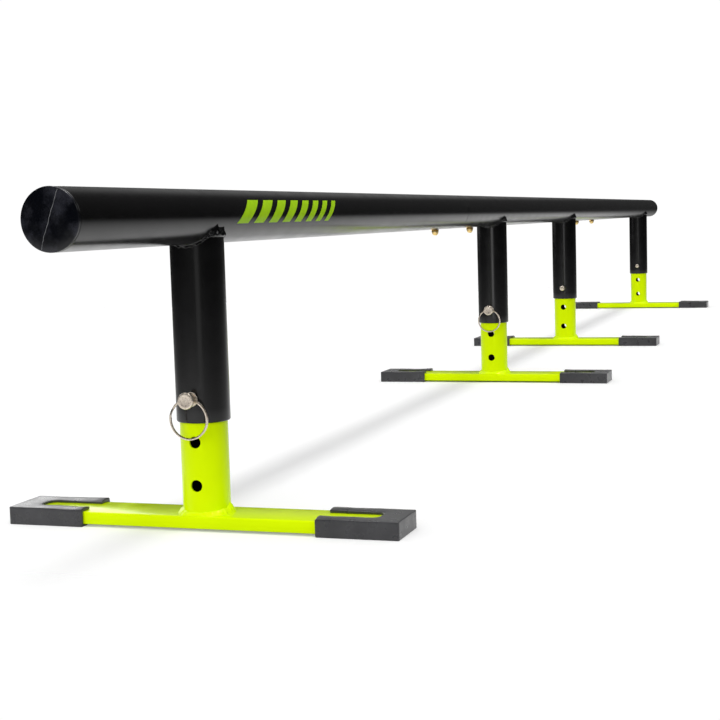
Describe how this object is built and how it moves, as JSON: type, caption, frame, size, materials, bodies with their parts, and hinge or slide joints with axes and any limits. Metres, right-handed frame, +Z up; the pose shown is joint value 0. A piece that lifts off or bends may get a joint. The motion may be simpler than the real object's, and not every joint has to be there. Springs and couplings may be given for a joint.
{
  "type": "grind rail",
  "caption": "Long round steel grind rail in bolted sections on telescoping T-feet with ring-pin height locks and rubber boots.",
  "frame": {"origin": "on the ground under the middle of the rail, the bottom centre of the bounding box", "axes": "+X along the rail from its near end to its far end, +Y across it along the foot bars, +Z up"},
  "size_m": [3.6086, 0.3966, 0.318],
  "materials": {
    "black_paint": "satin powder coat",
    "green_paint": "satin powder coat",
    "rubber": "matt moulded",
    "black_plastic": "satin moulded",
    "nickel": "nickel plated",
    "yellow_zinc": "yellow zinc plated",
    "bare_steel": "mill finish"
  },
  "bodies": {
    "frame": {"rail_section_near": "black_paint", "rail_section_middle": "black_paint", "rail_section_far": "black_paint", "end_cap_near": "black_plastic", "end_cap_far": "black_plastic", "connector_1": "bare_steel", "connector_2": "bare_steel", "weld_nut_1": "bare_steel", "weld_nut_2": "bare_steel", "weld_nut_3": "bare_steel", "weld_nut_4": "bare_steel", "joint_bolt_1": "yellow_zinc", "joint_bolt_2": "yellow_zinc", "joint_bolt_3": "yellow_zinc", "joint_bolt_4": "yellow_zinc", "leg_sleeve_1": "black_paint", "saddle_weld_1": "black_paint", "leg_stem_1": "green_paint", "foot_bar_1": "green_paint", "foot_weld_1": "green_paint", "rubber_boot_1_left": "rubber", "rubber_boot_1_right": "rubber", "leg_sleeve_2": "black_paint", "saddle_weld_2": "black_paint", "leg_stem_2": "green_paint", "foot_bar_2": "green_paint", "foot_weld_2": "green_paint", "rubber_boot_2_left": "rubber", "rubber_boot_2_right": "rubber", "leg_sleeve_3": "black_paint", "saddle_weld_3": "black_paint", "leg_stem_3": "green_paint", "foot_bar_3": "green_paint", "foot_weld_3": "green_paint", "rubber_boot_3_left": "rubber", "rubber_boot_3_right": "rubber", "leg_sleeve_4": "black_paint", "saddle_weld_4": "black_paint", "leg_stem_4": "green_paint", "foot_bar_4": "green_paint", "foot_weld_4": "green_paint", "rubber_boot_4_left": "rubber", "rubber_boot_4_right": "rubber"},
    "pin_1": {"lock_pin_1": "nickel"},
    "ring_1": {"pull_ring_1": "nickel"},
    "pin_2": {"lock_pin_2": "nickel"},
    "ring_2": {"pull_ring_2": "nickel"},
    "pin_3": {"lock_pin_3": "nickel"},
    "ring_3": {"pull_ring_3": "nickel"},
    "pin_4": {"lock_pin_4": "nickel"},
    "ring_4": {"pull_ring_4": "nickel"}
  },
  "joints": [
    {"name": "pin_1_pull", "type": "slide", "parent": "frame", "child": "pin_1", "axis": [-1, 0, 0], "range_m": [0, 0.062]},
    {"name": "pin_2_pull", "type": "slide", "parent": "frame", "child": "pin_2", "axis": [-1, 0, 0], "range_m": [0, 0.062]},
    {"name": "pin_3_pull", "type": "slide", "parent": "frame", "child": "pin_3", "axis": [1, 0, 0], "range_m": [0, 0.062]},
    {"name": "pin_4_pull", "type": "slide", "parent": "frame", "child": "pin_4", "axis": [1, 0, 0], "range_m": [0, 0.062]},
    {"name": "ring_1_swing", "type": "hinge", "parent": "pin_1", "child": "ring_1", "pos_m": [-1.573, 0, 0.1245], "axis": [0, 1, 0], "range_deg": [-8, 188]},
    {"name": "ring_2_swing", "type": "hinge", "parent": "pin_2", "child": "ring_2", "pos_m": [-0.373, 0, 0.1245], "axis": [0, 1, 0], "range_deg": [-8, 188]},
    {"name": "ring_3_swing", "type": "hinge", "parent": "pin_3", "child": "ring_3", "pos_m": [0.373, 0, 0.1245], "axis": [0, -1, 0], "range_deg": [-8, 188]},
    {"name": "ring_4_swing", "type": "hinge", "parent": "pin_4", "child": "ring_4", "pos_m": [1.573, 0, 0.1245], "axis": [0, -1, 0], "range_deg": [-8, 188]}
  ]
}
